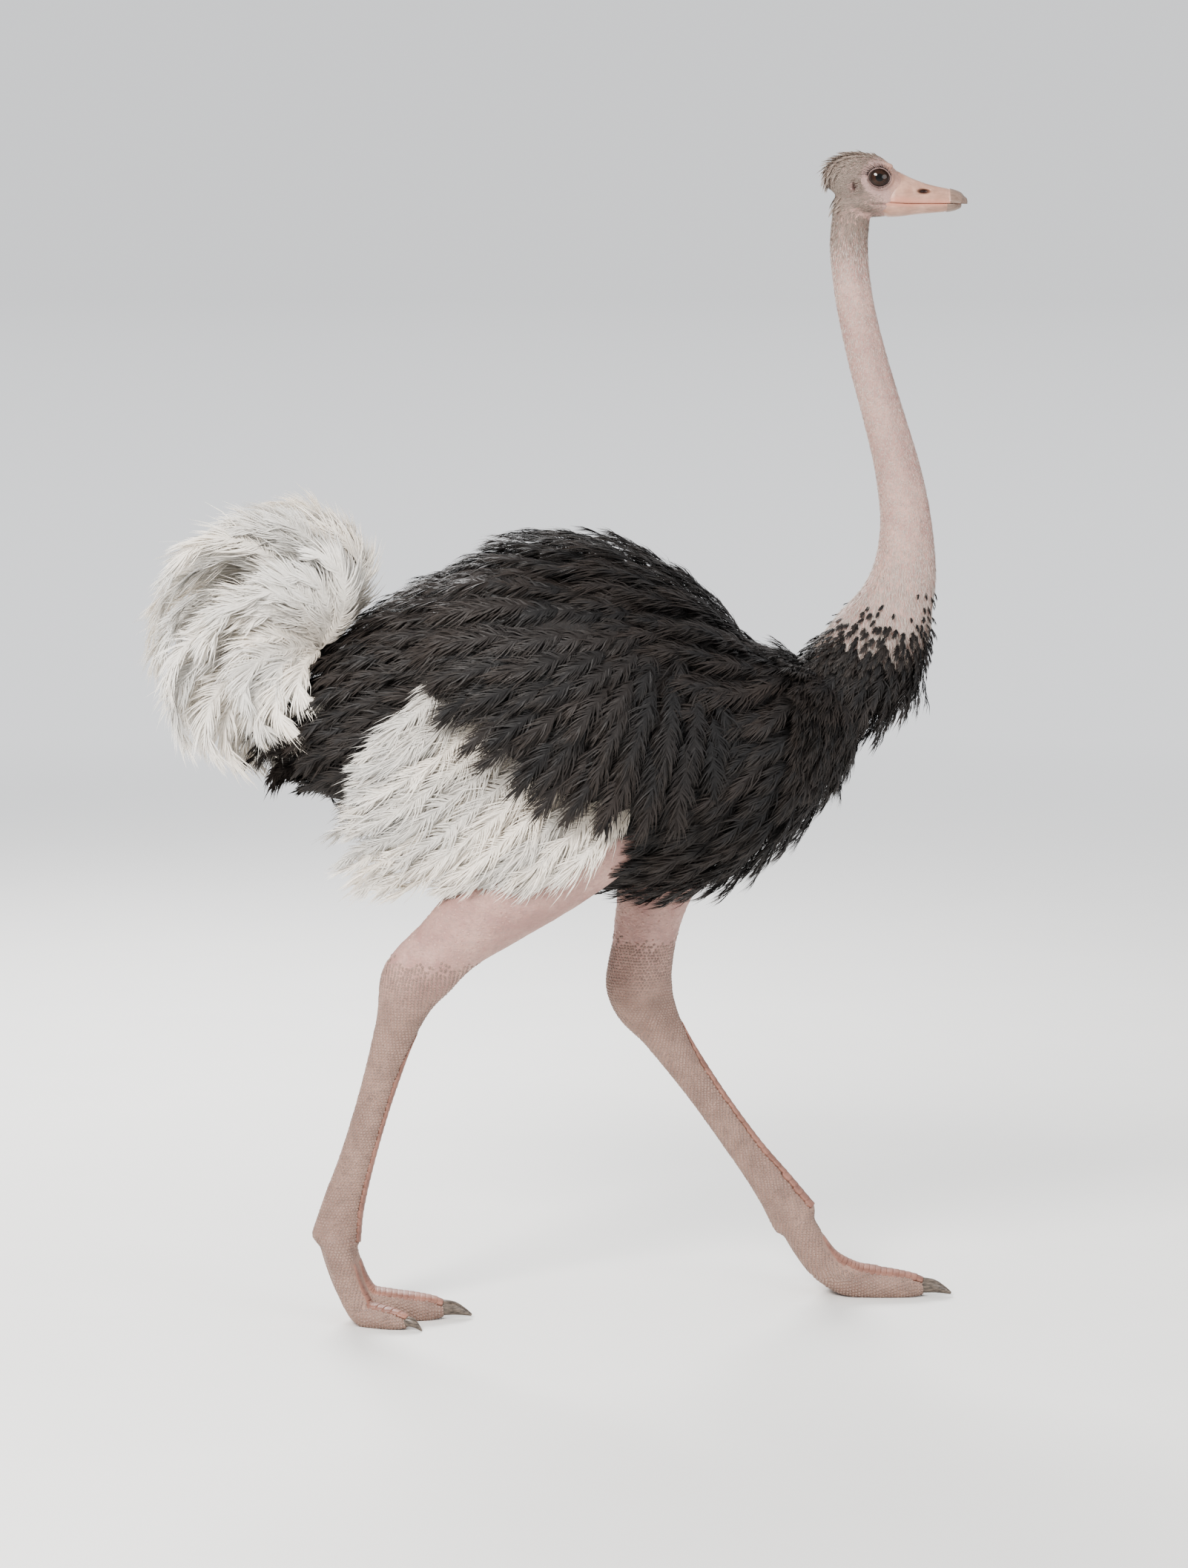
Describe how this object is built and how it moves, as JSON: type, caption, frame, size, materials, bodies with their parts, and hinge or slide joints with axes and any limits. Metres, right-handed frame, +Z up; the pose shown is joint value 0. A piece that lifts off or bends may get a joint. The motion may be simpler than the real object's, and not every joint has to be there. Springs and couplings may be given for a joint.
{
  "type": "ostrich",
  "caption": "Life-size still model of an adult male ostrich walking: black body plumage, white wing plumes and tail, long bare neck and two-toed feet.",
  "frame": {"origin": "on the floor, below the middle of the bird's box", "axes": "+Z up, +X the way the bird faces, +Y its left side"},
  "size_m": [1.446, 0.59, 2.0452],
  "materials": {
    "neck_skin": "bare pinkish-grey skin, finely wrinkled, with a thin pale down",
    "bill_horn": "horn, pinkish brown, a darker nail at the tip, satin",
    "eye": "dark brown iris, black pupil, wet gloss",
    "black_plumage": "soft loose feathers, brownish black, faint sheen",
    "white_plumage": "soft white plumes with loose barbs",
    "thigh_skin": "bare pinkish-grey skin with quill follicles, matt",
    "leg_scales": "scaled leg skin, redder shields down the front, satin",
    "claw_horn": "dark horn, worn paler at the tip"
  },
  "bodies": {
    "root": {"head": "neck_skin", "ear_left": "neck_skin", "ear_right": "neck_skin", "neck_upper": "neck_skin", "neck_middle": "neck_skin", "neck_lower": "neck_skin", "bill_upper": "bill_horn", "bill_lower": "bill_horn", "eye_left": "eye", "eye_right": "eye", "trunk": "black_plumage", "wing_left": "black_plumage", "wing_right": "black_plumage", "wing_left_plumes": "white_plumage", "wing_right_plumes": "white_plumage", "tail": "white_plumage", "thigh_left": "thigh_skin", "thigh_right": "thigh_skin", "shank_left": "leg_scales", "shank_right": "leg_scales", "toe_inner_left": "leg_scales", "toe_outer_left": "leg_scales", "toe_inner_right": "leg_scales", "toe_outer_right": "leg_scales", "claw_inner_left": "claw_horn", "claw_outer_left": "claw_horn", "claw_inner_right": "claw_horn", "claw_outer_right": "claw_horn"}
  },
  "joints": []
}
